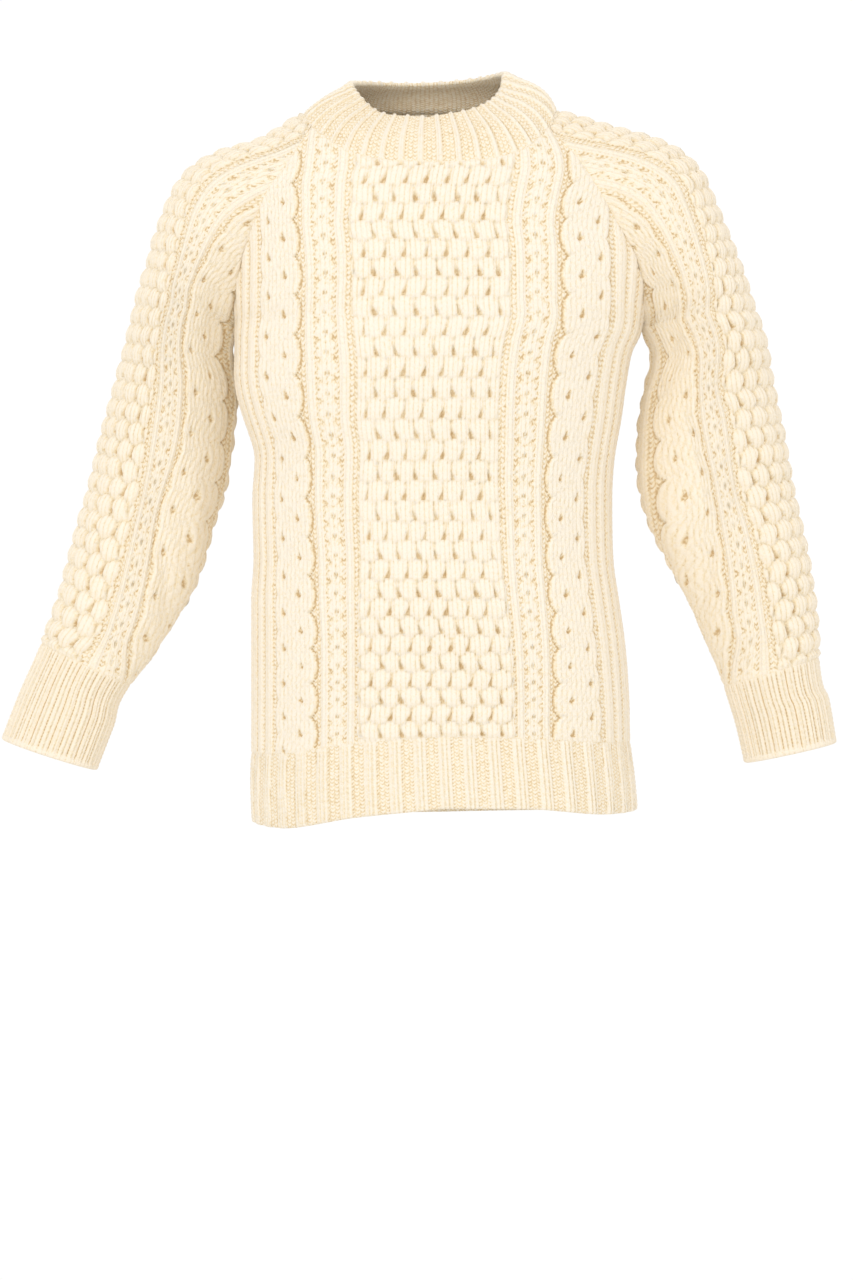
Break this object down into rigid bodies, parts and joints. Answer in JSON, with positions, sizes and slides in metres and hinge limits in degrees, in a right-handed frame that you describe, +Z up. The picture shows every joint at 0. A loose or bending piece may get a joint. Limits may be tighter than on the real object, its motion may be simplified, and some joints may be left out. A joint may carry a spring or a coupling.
{
  "type": "cable knit sweater",
  "caption": "Cream wool cable knit sweater with raglan sleeves, ribbed crew neck, hem and cuffs, in the hollow shape it has when worn.",
  "frame": {"origin": "the middle of the neck's foot, where the shoulders carry the sweater", "axes": "+Z up, the front faces -Y, +X is the wearer's left"},
  "size_m": [0.7285, 0.236, 0.6646],
  "materials": {
    "front_panel": "thick cream wool in cables and honeycomb",
    "back_panel": "thick cream wool in cables and honeycomb",
    "left_sleeve": "thick cream wool in cables and honeycomb",
    "right_sleeve": "thick cream wool in cables and honeycomb",
    "neckband": "ribbed cream wool, folded over",
    "front_hem_rib": "ribbed cream wool",
    "back_hem_rib": "ribbed cream wool",
    "left_cuff": "finely ribbed cream wool",
    "right_cuff": "finely ribbed cream wool"
  },
  "bodies": {
    "root": {"front_panel": "front_panel", "back_panel": "back_panel", "left_sleeve": "left_sleeve", "right_sleeve": "right_sleeve", "neckband": "neckband", "front_hem_rib": "front_hem_rib", "back_hem_rib": "back_hem_rib", "left_cuff": "left_cuff", "right_cuff": "right_cuff"}
  },
  "joints": []
}
